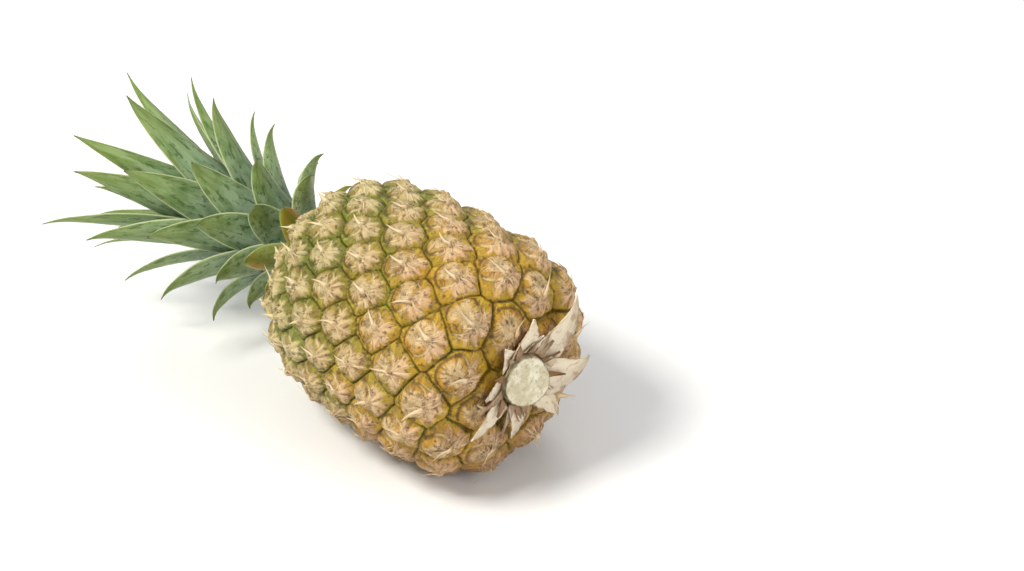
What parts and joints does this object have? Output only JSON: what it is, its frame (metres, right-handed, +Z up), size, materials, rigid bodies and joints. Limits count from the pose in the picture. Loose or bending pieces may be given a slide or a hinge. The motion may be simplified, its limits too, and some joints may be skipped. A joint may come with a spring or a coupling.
{
  "type": "pineapple",
  "caption": "Whole pineapple lying on its side: a barrel of spiral eyes with papery spikes, a leafy crown, a cut stalk and dry base bracts.",
  "frame": {"origin": "on the resting surface, at the flattened eye that the fruit lies on, under its widest part", "axes": "+Z up, X along the fruit's axis with the crown at -X and the cut stalk at +X, Y across the fruit"},
  "size_m": [0.2881, 0.144, 0.1328],
  "materials": {
    "skin": "golden yellow-green pineapple rind with tan papery bracts and olive seams",
    "leaf": "blue-green leaf with a waxy bloom and yellow-green edges",
    "stalk": "dry fibrous cut stem, pale tan with a grey-green rim",
    "bract": "dry papery tan bract with faint lengthwise fibres"
  },
  "bodies": {
    "root": {"fruit": "skin", "crown": "leaf", "stalk": "stalk", "base_bracts": "bract"}
  },
  "joints": []
}
